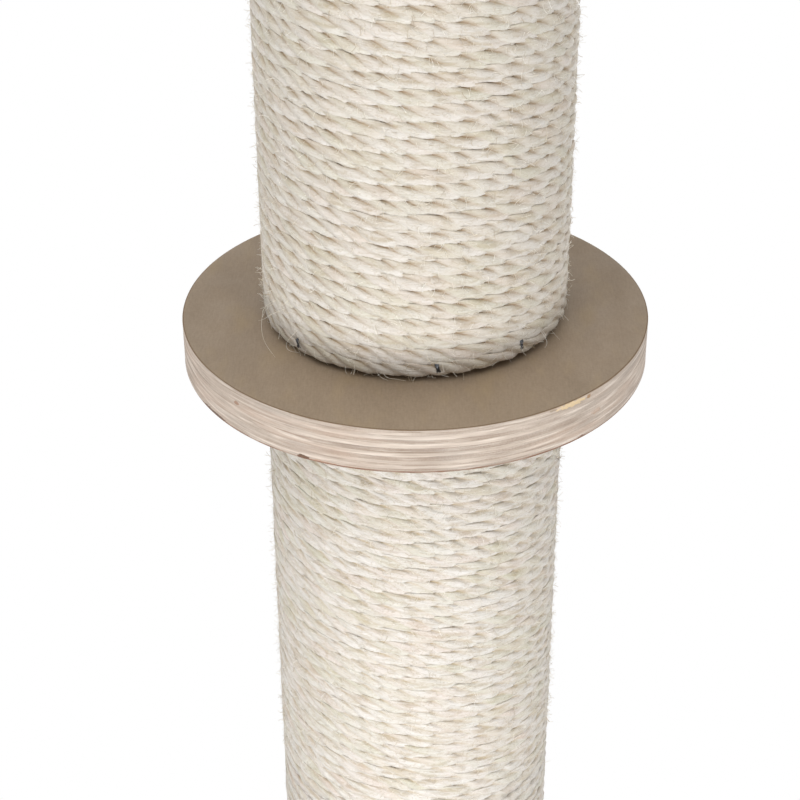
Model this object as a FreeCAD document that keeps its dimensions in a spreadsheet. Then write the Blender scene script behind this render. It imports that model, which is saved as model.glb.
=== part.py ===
import FreeCAD
import Part
import Sketcher
import math
import os
from types import SimpleNamespace

# Floor-to-ceiling cat tree: a rope-wound post in four sections with round boards clamped between them,
# held against the ceiling by a screw jack. Millimetres, +Z up, origin on the floor under the post's axis.

dimensions = {
    # boards of film-faced plywood
    "board_thickness": 24.0,
    "board_chamfer": 1.0,
    "base_diameter": 600.0,
    "collar_diameter": 240.0,
    "perch_diameter": 410.0,
    "perch_offset": 95.0,
    "top_disc_diameter": 240.0,
    "ceiling_plate_diameter": 240.0,
    # post sections
    "lower_length": 820.0,
    "middle_length": 600.0,
    "upper_length": 480.0,
    "top_length": 320.0,
    "tube_diameter": 140.0,
    "tube_wall": 8.0,
    "plug_thickness": 24.0,
    "plug_clearance": 0.15,
    # rope winding
    "rope_diameter": 7.5,
    "rope_loops": 24.0,
    "turn_gap": 0.5,
    "rope_clearance": 0.3,
    "rope_margin": 2.5,
    # wire staples over the rope's end turns
    "staple_crown": 5.6,
    "staple_width": 1.2,
    "staple_wire": 0.7,
    "staple_sink": 0.4,
    "staple_bite": 4.0,
    # studs, tee nuts and the base bolt
    "stud_diameter": 10.0,
    "stud_clearance": 0.5,
    "stud_overrun": 6.0,
    "thread_clearance": 0.15,
    "tee_nut_wall": 1.4,
    "tee_nut_barrel": 16.0,
    "tee_nut_flange_width": 8.0,
    "tee_nut_flange_thickness": 2.0,
    "bolt_head_width": 3.5,
    "bolt_head_height": 6.0,
    "washer_width": 6.0,
    "washer_thickness": 2.0,
    "head_recess": 1.0,
    # wood screws
    "screw_diameter": 4.5,
    "screw_head_diameter": 9.0,
    "screw_head_height": 3.2,
    "screw_tip": 5.0,
    "screw_bite": 18.0,
    "screw_clearance": 0.15,
    "screw_recess": 0.5,
    "screws_per_plug": 3.0,
    "screws_per_board": 4.0,
    "plug_screw_height": 12.0,
    # floor pads
    "pad_diameter": 45.0,
    "pad_height": 5.0,
    "pad_inset": 35.0,
    "pad_count": 6.0,
    # ceiling clamp
    "spindle_diameter": 20.0,
    "spindle_running_clearance": 0.3,
    "spindle_tail": 110.0,
    "spindle_chamfer": 2.0,
    "guide_wall": 4.0,
    "guide_flange_width": 16.0,
    "guide_flange_thickness": 4.0,
    "thrust_washer_width": 9.5,
    "thrust_washer_thickness": 3.0,
    "nut_wall": 8.0,
    "nut_height": 20.0,
    "jack_gap": 36.0,
    "spindle_flange_width": 30.0,
    "spindle_flange_thickness": 6.0,
    "ceiling_pad_thickness": 4.0,
    "ceiling_pad_inset": 8.0,
}

# Bearings of the staples round the post, in degrees from the front, positive to the right.
# The first three are seen on the middle section; the others carry on round the back.
staple_bearings = (-48, 8, 42, 96, 145, 198, 255)

front_angle = -90
right_angle = 90
half_turn = 180
full_turn = 360


class Length:
    """A size with its value and the sheet expression that gives it."""

    def __init__(self, value, text):
        self.value = value
        self.text = text

    def combine(self, other, sign, value):
        text = other.text if isinstance(other, Length) else str(other)
        return Length(value, f"({self.text} {sign} {text})")

    def __add__(self, other):
        return self.combine(other, "+", self.value + number(other))

    def __sub__(self, other):
        return self.combine(other, "-", self.value - number(other))

    def __mul__(self, other):
        return self.combine(other, "*", self.value * number(other))

    def __truediv__(self, other):
        return self.combine(other, "/", self.value / number(other))


def number(item):
    return item.value if isinstance(item, Length) else item


def make_sheet():
    sheet = doc.addObject("Spreadsheet::Sheet", "Sizes")
    lengths = {}
    for row, (alias, value) in enumerate(dimensions.items(), start=1):
        sheet.set(f"A{row}", alias)
        sheet.set(f"B{row}", str(value))
        sheet.setAlias(f"B{row}", alias)
        lengths[alias] = Length(value, f"Sizes.{alias}")
    doc.recompute()
    return SimpleNamespace(**lengths)


doc = FreeCAD.newDocument("cat_tree")
size = make_sheet()
nodes = []


# Sketch and feature helpers


def bind(item, name, length):
    item.setExpression(name, length.text)


def new_body(label, level=None, bearing=0, kept=True):
    body = doc.addObject("PartDesign::Body", label)
    body.Label = label
    turned_round = FreeCAD.Rotation(FreeCAD.Vector(0, 0, 1), bearing)
    body.Placement = FreeCAD.Placement(FreeCAD.Vector(), turned_round)
    if level is not None:
        bind(body, "Placement.Base.z", level)
    if kept:
        nodes.append(body)
    return body


def new_sketch(body, name, role="XY_Plane", offset=None):
    planes = [feature for feature in body.Origin.OriginFeatures if feature.Role == role]
    sketch = body.newObject("Sketcher::SketchObject", f"{body.Name}_{name}")
    sketch.AttachmentSupport = [(planes[0], "")]
    sketch.MapMode = "FlatFace"
    if offset is not None:
        bind(sketch, "AttachmentOffset.Base.z", offset)
    return sketch


def measure(sketch, name, kind, geometry, length):
    index = sketch.addConstraint(Sketcher.Constraint(kind, *geometry, length.value))
    sketch.renameConstraint(index, name)
    bind(sketch, f"Constraints.{name}", length)


def place_point(sketch, name, geometry, point, x, y):
    origin, x_axis, y_axis = (-1, 1), -1, -2
    if x is None and y is None:
        sketch.addConstraint(Sketcher.Constraint("Coincident", geometry, point, *origin))
        return
    if x is None:
        sketch.addConstraint(Sketcher.Constraint("PointOnObject", geometry, point, y_axis))
    else:
        measure(sketch, f"{name}_x", "DistanceX", (*origin, geometry, point), x)
    if y is None:
        sketch.addConstraint(Sketcher.Constraint("PointOnObject", geometry, point, x_axis))
    else:
        measure(sketch, f"{name}_y", "DistanceY", (*origin, geometry, point), y)


def add_circle(sketch, name, diameter, x=None, y=None):
    centre = FreeCAD.Vector(number(x or 0), number(y or 0), 0)
    circle = Part.Circle(centre, FreeCAD.Vector(0, 0, 1), diameter.value / 2)
    geometry = sketch.addGeometry(circle, False)
    place_point(sketch, name, geometry, 3, x, y)
    measure(sketch, f"{name}_diameter", "Diameter", (geometry,), diameter)


def add_outline(sketch, corners):
    spots = [FreeCAD.Vector(number(x or 0), number(y or 0), 0) for x, y in corners]
    count = len(spots)
    lines = []
    for index in range(count):
        line = Part.LineSegment(spots[index], spots[(index + 1) % count])
        lines.append(sketch.addGeometry(line, False))
    for index in range(count):
        following = lines[(index + 1) % count]
        sketch.addConstraint(Sketcher.Constraint("Coincident", lines[index], 2, following, 1))
    for index, (x, y) in enumerate(corners):
        place_point(sketch, f"corner{index}", lines[index], 1, x, y)


def add_pad(body, sketch, length, midplane=False):
    pad = body.newObject("PartDesign::Pad", f"{sketch.Name}_pad")
    pad.Profile = sketch
    pad.Midplane = midplane
    bind(pad, "Length", length)
    sketch.Visibility = False
    doc.recompute()
    return pad


def add_pocket(body, sketch, depth=None):
    """Cut along the sketch's normal, to a depth or right through."""
    before = body.Shape.Volume
    pocket = body.newObject("PartDesign::Pocket", f"{sketch.Name}_pocket")
    pocket.Profile = sketch
    pocket.Reversed = True
    if depth is None:
        pocket.Type = "ThroughAll"
    else:
        bind(pocket, "Length", depth)
    doc.recompute()
    if body.Shape.Volume >= before:
        raise RuntimeError(f"{pocket.Name} cuts nothing")
    return pocket


def add_ring_pattern(body, originals, count):
    axis = [feature for feature in body.Origin.OriginFeatures if feature.Role == "Z_Axis"][0]
    pattern = body.newObject("PartDesign::PolarPattern", f"{originals[0].Name}_ring")
    pattern.Originals = originals
    pattern.Axis = (axis, [""])
    pattern.Angle = full_turn
    bind(pattern, "Occurrences", count)
    body.Tip = pattern
    doc.recompute()
    return pattern


def add_chamfer(body, base, diameter, width):
    tolerance = 1e-6
    rims = []
    for index, edge in enumerate(base.Shape.Edges, start=1):
        round_edge = isinstance(edge.Curve, Part.Circle)
        if round_edge and abs(edge.Curve.Radius - diameter.value / 2) < tolerance:
            rims.append(f"Edge{index}")
    chamfer = body.newObject("PartDesign::Chamfer", f"{body.Name}_chamfer")
    chamfer.Base = (base, rims)
    bind(chamfer, "Size", width)
    doc.recompute()


def make_turned(label, corners, level=None, kept=True):
    """A round piece turned from a half section of (radius, height) corners."""
    body = new_body(label, level, kept=kept)
    section = new_sketch(body, "section", "XZ_Plane")
    add_outline(section, corners)
    turning = body.newObject("PartDesign::Revolution", f"{label}_turning")
    turning.Profile = section
    turning.ReferenceAxis = (section, ["V_Axis"])
    turning.Angle = full_turn
    doc.recompute()
    return body


def make_ring(label, inner, outer, height, level=None, kept=True):
    body = new_body(label, level, kept=kept)
    outline = new_sketch(body, "outline")
    add_circle(outline, "outer", outer)
    add_circle(outline, "inner", inner)
    add_pad(body, outline, height)
    return body


def make_group(label, master, placements):
    """Identical pieces that share a node, each a separate solid."""
    solids = []
    for placement in placements:
        solid = master.Shape.copy()
        solid.Placement = placement.multiply(solid.Placement)
        solids.append(solid)
    group = doc.addObject("Part::Feature", label)
    group.Label = label
    group.Shape = Part.makeCompound(solids)
    nodes.append(group)
    return group


def upright(level, flipped=False):
    tilt = half_turn if flipped else 0
    rotation = FreeCAD.Rotation(FreeCAD.Vector(1, 0, 0), tilt)
    return FreeCAD.Placement(FreeCAD.Vector(0, 0, level.value), rotation)


def facing_out(bearing, radius, level):
    """Local +X points out from the post's axis."""
    rotation = FreeCAD.Rotation(FreeCAD.Vector(0, 0, 1), bearing)
    spot = rotation.multVec(FreeCAD.Vector(radius, 0, 0))
    spot.z = level
    return FreeCAD.Placement(spot, rotation)


# Sizes that follow from the driving ones

tube_bore = size.tube_diameter - size.tube_wall * 2
plug_diameter = tube_bore - size.plug_clearance * 2
turn_pitch = size.rope_diameter + size.turn_gap
rope_inner_diameter = size.tube_diameter + size.rope_clearance * 2
rope_outer_diameter = rope_inner_diameter + size.rope_diameter * 2
winding_height = turn_pitch * size.rope_loops + size.rope_diameter

stud_bore = size.stud_diameter + size.stud_clearance * 2
tee_nut_bore = size.stud_diameter + size.thread_clearance * 2
tee_nut_diameter = tee_nut_bore + size.tee_nut_wall * 2
tee_nut_flange = tee_nut_diameter + size.tee_nut_flange_width * 2
tee_nut_hole = tee_nut_diameter + size.thread_clearance * 2
bolt_head_diameter = size.stud_diameter + size.bolt_head_width * 2
washer_diameter = stud_bore + size.washer_width * 2
bolt_recess_diameter = washer_diameter + size.stud_clearance * 2
bolt_recess_depth = size.washer_thickness + size.bolt_head_height + size.head_recess

screw_hole = size.screw_diameter + size.screw_clearance * 2
screw_head_hole = size.screw_head_diameter + size.screw_clearance * 2
screw_head_depth = size.screw_head_height + size.screw_recess
base_screw_radius = (tee_nut_flange + plug_diameter) / 4
board_screw_length = size.board_thickness - size.screw_recess + size.screw_bite

spindle_bore = size.spindle_diameter + size.spindle_running_clearance * 2
guide_diameter = spindle_bore + size.guide_wall * 2
guide_hole = guide_diameter + size.thread_clearance * 2
guide_flange = guide_diameter + size.guide_flange_width * 2
guide_length = size.board_thickness + size.plug_thickness
top_screw_radius = guide_flange / 2 + size.screw_head_diameter
thrust_washer_diameter = spindle_bore + size.thrust_washer_width * 2
nut_across_flats = spindle_bore + size.nut_wall * 2
spindle_flange_diameter = size.spindle_diameter + size.spindle_flange_width * 2
ceiling_screw_radius = (size.spindle_diameter + size.spindle_flange_width) / 2
ceiling_screw_length = size.screw_head_height + size.spindle_flange_thickness + size.screw_bite
ceiling_pad_diameter = size.ceiling_plate_diameter - size.ceiling_pad_inset * 2

# Levels, from the floor up

base_bottom = size.pad_height
base_top = base_bottom + size.board_thickness
lower = SimpleNamespace(name="lower", bottom=base_top, length=size.lower_length, turns_at_top=True)
middle = SimpleNamespace(name="middle", length=size.middle_length, turns_at_top=False)
upper = SimpleNamespace(name="upper", length=size.upper_length, turns_at_top=False)
top = SimpleNamespace(name="top", length=size.top_length, turns_at_top=False)
sections = [lower, middle, upper, top]
for index, section in enumerate(sections):
    if index > 0:
        section.bottom = sections[index - 1].top + size.board_thickness
    section.top = section.bottom + section.length

top_disc_top = top.top + size.board_thickness
thrust_washer_level = top_disc_top + size.guide_flange_thickness
nut_level = thrust_washer_level + size.thrust_washer_thickness
spindle_bottom = top.top - size.plug_thickness - size.spindle_tail
spindle_flange_level = nut_level + size.nut_height + size.jack_gap
ceiling_plate_level = spindle_flange_level + size.spindle_flange_thickness
ceiling_pad_level = ceiling_plate_level + size.board_thickness


# Boards


def make_board(label, diameter, level, bore=None, offset=None, bearing=0):
    body = new_body(label, level, bearing)
    outline = new_sketch(body, "outline")
    add_circle(outline, "rim", diameter, x=offset)
    if bore is not None:
        add_circle(outline, "bore", bore)
    pad = add_pad(body, outline, size.board_thickness)
    add_chamfer(body, pad, diameter, size.board_chamfer)
    return body


def add_holes(body, name, diameter, radius, count, depth=None, offset=None):
    """A ring of upright holes, cut upwards from the offset level."""
    ring = new_sketch(body, name, offset=offset)
    add_circle(ring, name, diameter, x=radius)
    pocket = add_pocket(body, ring, depth)
    add_ring_pattern(body, [pocket], count)


def make_base_plate():
    body = make_board("base_plate", size.base_diameter, base_bottom, stud_bore)
    recess = new_sketch(body, "bolt_recess")
    add_circle(recess, "recess", bolt_recess_diameter)
    add_pocket(body, recess, bolt_recess_depth)
    add_holes(body, "screw_holes", screw_hole, base_screw_radius, size.screws_per_board)
    add_holes(body, "head_holes", screw_head_hole, base_screw_radius, size.screws_per_board, screw_head_depth)


def make_top_disc():
    body = make_board("top_disc", size.top_disc_diameter, top.top, guide_hole)
    add_holes(body, "screw_holes", screw_hole, top_screw_radius, size.screws_per_board)
    head_level = size.board_thickness - screw_head_depth
    add_holes(body, "head_holes", screw_head_hole, top_screw_radius, size.screws_per_board, offset=head_level)


def make_ceiling_plate():
    body = make_board("ceiling_plate", size.ceiling_plate_diameter, ceiling_plate_level)
    depth = size.screw_bite + size.screw_recess
    add_holes(body, "screw_holes", screw_hole, ceiling_screw_radius, size.screws_per_board, depth)


# Post sections


def add_side_holes(body, name, diameter, levels, start=None):
    """Holes square to the axis, cut outwards from the start radius."""
    sketch = new_sketch(body, name, "YZ_Plane", offset=start)
    for index, level in enumerate(levels):
        add_circle(sketch, f"{name}{index}", diameter, y=level)
    return add_pocket(body, sketch)


def make_core_tube(section):
    label = f"{section.name}_core_tube"
    body = make_ring(label, tube_bore, size.tube_diameter, section.length, section.bottom)
    levels = (size.plug_screw_height, section.length - size.plug_screw_height)
    head_start = size.tube_diameter / 2 - screw_head_depth
    shank_holes = add_side_holes(body, "shank_holes", screw_hole, levels)
    head_holes = add_side_holes(body, "head_holes", screw_head_hole, levels, head_start)
    add_ring_pattern(body, [shank_holes, head_holes], size.screws_per_plug)


def make_plug(section, end, bore, screw_radius=None):
    level = section.bottom
    screw_height = size.plug_screw_height
    if end == "top":
        level = section.top - size.plug_thickness
        screw_height = size.plug_thickness - size.plug_screw_height
    body = make_ring(f"{section.name}_{end}_plug", bore, plug_diameter, size.plug_thickness, level)
    reach = tube_bore / 2 - size.screw_bite
    side_holes = add_side_holes(body, "side_holes", screw_hole, [screw_height], reach)
    add_ring_pattern(body, [side_holes], size.screws_per_plug)
    if screw_radius is not None:
        add_holes(body, "board_screw_holes", screw_hole, screw_radius, size.screws_per_board)


# Rope winding: right-handed turns, a circle swept along arcs


def arc_edge(start, control, end):
    chord = end - start
    middle = (start + end) * 0.5
    half_angle = chord.getAngle(control - start) / 2
    rise = chord.Length / 2 * math.tan(half_angle)
    bulge = middle + (control - middle).normalize() * rise
    return Part.Arc(start, bulge, end).toShape()


def biarc_edges(start, start_tangent, end, end_tangent):
    """Two arcs that leave and arrive along the given unit tangents."""
    span = end - start
    tangents = start_tangent + end_tangent
    spread = 4 - tangents.dot(tangents)
    along = span.dot(tangents)
    reach = (math.sqrt(along * along + spread * span.dot(span)) - along) / spread
    first_control = start + start_tangent * reach
    second_control = end - end_tangent * reach
    joint = (first_control + second_control) * 0.5
    return [arc_edge(start, first_control, joint), arc_edge(joint, second_control, end)]


def least_gap(path, loops, diameter):
    """Least distance between the surfaces of neighbouring turns, measured on points."""
    steps = 72
    points = path.discretize(Number=loops * steps)
    nearest = math.inf
    for index, point in enumerate(points):
        window = range(index + steps // 2, min(index + steps * 3 // 2, len(points) - 1))
        for other in window:
            distance = point.distanceToLineSegment(points[other], points[other + 1]).Length
            nearest = min(nearest, distance)
    return nearest - diameter


def make_rope_turns(section):
    diameter = size.rope_diameter.value
    pitch = turn_pitch.value
    radius = (rope_inner_diameter.value + diameter) / 2
    loops = round(size.rope_loops.value)
    start_level = section.bottom.value + size.rope_margin.value + diameter / 2
    if section.turns_at_top:
        start_level = section.top.value - size.rope_margin.value - diameter / 2 - loops * pitch
    slope = pitch / (2 * math.pi * radius)
    stations = []
    for step in range(loops * 2 + 1):
        angle = math.pi / 2 + step * math.pi
        outward = FreeCAD.Vector(math.cos(angle), math.sin(angle), 0)
        along = FreeCAD.Vector(-outward.y, outward.x, slope).normalize()
        spot = outward * radius + FreeCAD.Vector(0, 0, start_level + step * pitch / 2)
        stations.append((spot, along))
    first_spot, first_along = stations[0]
    last_spot, last_along = stations[-1]
    tail = first_spot - first_along * diameter
    edges = [Part.LineSegment(tail, first_spot).toShape()]
    for (spot, along), (next_spot, next_along) in zip(stations, stations[1:]):
        edges.extend(biarc_edges(spot, along, next_spot, next_along))
    edges.append(Part.LineSegment(last_spot, last_spot + last_along * diameter).toShape())
    path = Part.Wire(edges)
    rim = Part.Wire(Part.makeCircle(diameter / 2, tail, first_along))
    label = f"{section.name}_rope_turns"
    turns = doc.addObject("Part::Feature", label)
    turns.Label = label
    turns.Shape = path.makePipeShell([rim], True, False)
    nodes.append(turns)
    expected = math.pi * diameter ** 2 / 4 * path.Length
    print(f"{label}: least gap {least_gap(path, loops, diameter):.3f} mm,"
          f" least radius {min(edge.Curve.Radius for edge in edges[1:-1]):.2f} mm,"
          f" volume over section times length {turns.Shape.Volume / expected:.5f}")


def make_rope_sleeve(section):
    """The rest of the winding, as a plain sleeve of the rope's thickness."""
    height = section.length - size.rope_margin * 2 - winding_height - size.turn_gap
    level = section.bottom + size.rope_margin
    if not section.turns_at_top:
        level = level + winding_height + size.turn_gap
    make_ring(f"{section.name}_rope_sleeve", rope_inner_diameter, rope_outer_diameter, height, level)


# Fasteners


def make_screw(label, length, level=None, radius=None, count=None, head_up=False):
    """A wood screw along Z with its head at the bottom or the top, alone or repeated on a ring."""
    head = size.screw_head_diameter / 2
    shank = size.screw_diameter / 2
    profile = [(None, None), (head, None), (head, size.screw_head_height), (shank, size.screw_head_height),
               (shank, length - size.screw_tip), (None, length)]
    if head_up:
        profile = [(x, length - y if y is not None else length) for x, y in profile[:-1]] + [(None, None)]
    if radius is None:
        return make_turned(label, profile, kept=False)
    body = new_body(label, level)
    section = new_sketch(body, "section", "XZ_Plane")
    add_outline(section, [(radius + x if x is not None else radius, y) for x, y in profile])
    turning = body.newObject("PartDesign::Revolution", f"{label}_turning")
    turning.Profile = section
    axis_line = section.addGeometry(Part.LineSegment(*screw_axis(radius, length)), True)
    fix_screw_axis(section, axis_line, radius, length)
    turning.ReferenceAxis = (section, ["Axis0"])
    turning.Angle = full_turn
    doc.recompute()
    add_ring_pattern(body, [turning], count)
    return body


def screw_axis(radius, length):
    return FreeCAD.Vector(radius.value, 0, 0), FreeCAD.Vector(radius.value, length.value, 0)


def fix_screw_axis(section, axis_line, radius, length):
    place_point(section, "axis_start", axis_line, 1, radius, None)
    place_point(section, "axis_end", axis_line, 2, radius, length)


def make_tee_nuts():
    bore, barrel, flange = tee_nut_bore / 2, tee_nut_diameter / 2, tee_nut_flange / 2
    thickness = size.tee_nut_flange_thickness
    height = thickness + size.tee_nut_barrel
    master = make_turned("tee_nut", [(bore, None), (flange, None), (flange, thickness), (barrel, thickness),
                                     (barrel, height), (bore, height)], kept=False)
    placements = []
    for section in sections:
        flange_on_plug = section.bottom + size.plug_thickness + thickness
        placements.append(upright(flange_on_plug, flipped=True))
        if section is not top:
            placements.append(upright(section.top - size.plug_thickness - thickness))
    make_group("tee_nuts", master, placements)


def make_joining_studs():
    reach = size.plug_thickness + size.tee_nut_flange_thickness + size.stud_overrun
    length = size.board_thickness + reach * 2
    radius = size.stud_diameter / 2
    master = make_turned("joining_stud", [(None, None), (radius, None), (radius, length), (None, length)], kept=False)
    make_group("joining_studs", master, [upright(section.top - reach) for section in (lower, middle, upper)])


def make_base_bolt():
    head, shank = bolt_head_diameter / 2, size.stud_diameter / 2
    seat = size.bolt_head_height
    reach = size.plug_thickness + size.tee_nut_flange_thickness + size.stud_overrun
    length = size.board_thickness - size.head_recess + reach
    level = base_bottom + size.head_recess
    make_turned("base_bolt", [(None, None), (head, None), (head, seat), (shank, seat), (shank, length),
                              (None, length)], level)
    make_ring("base_washer", stud_bore, washer_diameter, size.washer_thickness, level + seat)


def make_plug_screws():
    """Screws square to the axis, heads just under the tube's skin."""
    length = size.tube_wall - size.screw_recess + size.screw_bite
    master = make_screw("plug_screw", length)
    inward = FreeCAD.Placement(FreeCAD.Vector(), FreeCAD.Rotation(FreeCAD.Vector(0, 1, 0), -right_angle))
    head_radius = size.tube_diameter.value / 2 - size.screw_recess.value
    count = round(size.screws_per_plug.value)
    placements = []
    for section in sections:
        for level in (section.bottom + size.plug_screw_height, section.top - size.plug_screw_height):
            for index in range(count):
                outside = facing_out(index * full_turn / count, head_radius, level.value)
                placements.append(outside.multiply(inward))
    make_group("plug_screws", master, placements)


def make_staples():
    """Upright staples through the end turns of the rope into the tube."""
    wire = size.staple_wire
    leg = wire + size.rope_diameter - size.staple_sink + size.rope_clearance + size.staple_bite
    inside = size.staple_crown - wire
    master = new_body("staple", kept=False)
    outline = new_sketch(master, "outline", "XZ_Plane")
    add_outline(outline, [(None, None), (leg, None), (leg, size.staple_crown), (None, size.staple_crown),
                          (None, inside), (leg - wire, inside), (leg - wire, wire), (None, wire)])
    add_pad(master, outline, size.staple_width, midplane=True)
    inner_radius = rope_outer_diameter.value / 2 - size.staple_sink.value + wire.value - leg.value
    end_height = size.rope_margin.value + (size.rope_diameter.value - size.staple_crown.value) / 2
    placements = []
    for section in sections:
        low = section.bottom.value + end_height
        high = section.top.value - end_height - size.staple_crown.value
        for bearing in staple_bearings:
            climb = (front_angle + bearing - right_angle) % full_turn / full_turn * turn_pitch.value
            low_climb = 0 if section.turns_at_top else climb
            high_drop = turn_pitch.value - climb if section.turns_at_top else 0
            placements.append(facing_out(front_angle + bearing, inner_radius, low + low_climb))
            placements.append(facing_out(front_angle + bearing, inner_radius, high - high_drop))
    make_group("staples", master, placements)


# Ceiling clamp


def make_guide_sleeve():
    bore, barrel, flange = spindle_bore / 2, guide_diameter / 2, guide_flange / 2
    height = guide_length + size.guide_flange_thickness
    make_turned("guide_sleeve", [(bore, None), (barrel, None), (barrel, guide_length), (flange, guide_length),
                                 (flange, height), (bore, height)], top_disc_top - guide_length)


def make_adjusting_nut():
    body = new_body("adjusting_nut", nut_level)
    outline = new_sketch(body, "outline")
    corner = nut_across_flats / math.sqrt(3)
    half_flats, half_side = nut_across_flats / 2, corner / 2
    far_flat, tip, shoulder = nut_across_flats, corner * 2, corner + half_side
    add_outline(outline, [(half_flats, None), (far_flat, half_side), (far_flat, shoulder), (half_flats, tip),
                          (None, shoulder), (None, half_side)])
    outline.AttachmentOffset = FreeCAD.Placement()
    bind(outline, "AttachmentOffset.Base.x", half_flats * -1)
    bind(outline, "AttachmentOffset.Base.y", corner * -1)
    add_circle(outline, "bore", spindle_bore, half_flats, corner)
    add_pad(body, outline, size.nut_height)


def make_spindle():
    radius, chamfer = size.spindle_diameter / 2, size.spindle_chamfer
    length = spindle_flange_level - spindle_bottom
    make_turned("spindle", [(None, None), (radius - chamfer, None), (radius, chamfer), (radius, length),
                            (None, length)], spindle_bottom)


def make_spindle_flange():
    body = new_body("spindle_flange", spindle_flange_level)
    outline = new_sketch(body, "outline")
    add_circle(outline, "rim", spindle_flange_diameter)
    add_pad(body, outline, size.spindle_flange_thickness)
    add_holes(body, "screw_holes", screw_hole, ceiling_screw_radius, size.screws_per_board)


def make_floor_pads():
    body = new_body("floor_pads")
    outline = new_sketch(body, "outline")
    add_circle(outline, "pad", size.pad_diameter, x=size.base_diameter / 2 - size.pad_inset)
    pad = add_pad(body, outline, size.pad_height)
    add_ring_pattern(body, [pad], size.pad_count)


def make_ceiling_pad():
    body = new_body("ceiling_pad", ceiling_pad_level)
    outline = new_sketch(body, "outline")
    add_circle(outline, "rim", ceiling_pad_diameter)
    add_pad(body, outline, size.ceiling_pad_thickness)


def make_boards():
    make_base_plate()
    make_board("collar_disc", size.collar_diameter, lower.top, stud_bore)
    make_board("lower_perch", size.perch_diameter, middle.top, stud_bore, size.perch_offset)
    make_board("upper_perch", size.perch_diameter, upper.top, stud_bore, size.perch_offset, half_turn)
    make_top_disc()
    make_ceiling_plate()


def make_sections():
    for section in sections:
        make_core_tube(section)
        make_plug(section, "bottom", tee_nut_hole, base_screw_radius if section is lower else None)
        if section is top:
            make_plug(section, "top", guide_hole, top_screw_radius)
        else:
            make_plug(section, "top", tee_nut_hole)
        make_rope_turns(section)
        make_rope_sleeve(section)


def make_fasteners():
    make_tee_nuts()
    make_joining_studs()
    make_base_bolt()
    make_screw("base_screws", board_screw_length, base_bottom + size.screw_recess, base_screw_radius,
               size.screws_per_board)
    make_screw("top_disc_screws", board_screw_length, top.top - size.screw_bite, top_screw_radius,
               size.screws_per_board, head_up=True)
    make_screw("ceiling_screws", ceiling_screw_length, spindle_flange_level - size.screw_head_height,
               ceiling_screw_radius, size.screws_per_board)
    make_plug_screws()
    make_staples()


def make_ceiling_clamp():
    make_guide_sleeve()
    make_ring("thrust_washer", spindle_bore, thrust_washer_diameter, size.thrust_washer_thickness,
              thrust_washer_level)
    make_adjusting_nut()
    make_spindle()
    make_spindle_flange()
    make_ceiling_pad()


def check_document():
    for item in doc.Objects:
        if "Invalid" in item.State or "Error" in item.State:
            raise RuntimeError(f"{item.Label} failed: {item.State}")
    for node in nodes:
        if node.Shape.isNull() or not node.Shape.isValid() or not node.Shape.Solids:
            raise RuntimeError(f"{node.Label} has no valid solid")


def write_parts():
    os.makedirs("parts", exist_ok=True)
    for node in nodes:
        node.Shape.exportStep(os.path.join("parts", f"{node.Label}.step"))
    print(f"{len(nodes)} nodes, {sum(len(node.Shape.Solids) for node in nodes)} solids")


make_floor_pads()
make_boards()
make_sections()
make_fasteners()
make_ceiling_clamp()
doc.recompute()
check_document()
write_parts()
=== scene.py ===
import math

import bmesh
import bpy
from mathutils import Matrix, Vector


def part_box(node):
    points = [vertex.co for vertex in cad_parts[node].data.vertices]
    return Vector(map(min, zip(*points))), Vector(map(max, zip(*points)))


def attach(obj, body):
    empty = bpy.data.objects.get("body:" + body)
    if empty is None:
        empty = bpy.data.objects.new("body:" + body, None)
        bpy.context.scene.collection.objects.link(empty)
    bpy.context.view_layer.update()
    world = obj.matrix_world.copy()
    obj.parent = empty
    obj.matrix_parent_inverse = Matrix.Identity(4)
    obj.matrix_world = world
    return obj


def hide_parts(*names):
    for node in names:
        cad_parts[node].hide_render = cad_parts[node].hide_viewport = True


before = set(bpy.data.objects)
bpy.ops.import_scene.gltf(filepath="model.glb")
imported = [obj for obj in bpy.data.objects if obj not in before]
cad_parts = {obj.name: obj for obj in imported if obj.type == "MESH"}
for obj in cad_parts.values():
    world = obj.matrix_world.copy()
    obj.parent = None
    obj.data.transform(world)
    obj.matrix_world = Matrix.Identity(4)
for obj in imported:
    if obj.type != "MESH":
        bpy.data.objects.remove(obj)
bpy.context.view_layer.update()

# Rope-wound cat post between floor and ceiling. Metres, Z up, the post stands on the Z axis, the front is -Y.

scene = bpy.context.scene
mm = 0.001
fullTurn = 2 * math.pi


# Helpers for nodes

def paint(red, green, blue):  # screen colour to the linear one that nodes use
    def linear(level):
        level /= 255
        return level / 12.92 if level <= 0.04045 else ((level + 0.055) / 1.055) ** 2.4
    return linear(red), linear(green), linear(blue), 1


def feed(tree, socket, value):
    if isinstance(value, Wire):
        tree.links.new(value.socket, socket)
    else:
        socket.default_value = value


def addNode(tree, kind, values=None, **settings):  # values go by the name or number of their socket
    node = tree.nodes.new(kind)
    for name, setting in settings.items():
        setattr(node, name, setting)
    for name, value in (values or {}).items():
        feed(tree, node.inputs[name], value)
    return node


def run(tree, kind, values=None, output=0, **settings):
    return Wire(tree, addNode(tree, kind, values, **settings).outputs[output])


def geo(tree, kind, values=None, **settings):
    return run(tree, f"GeometryNode{kind}", values, **settings)


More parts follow.
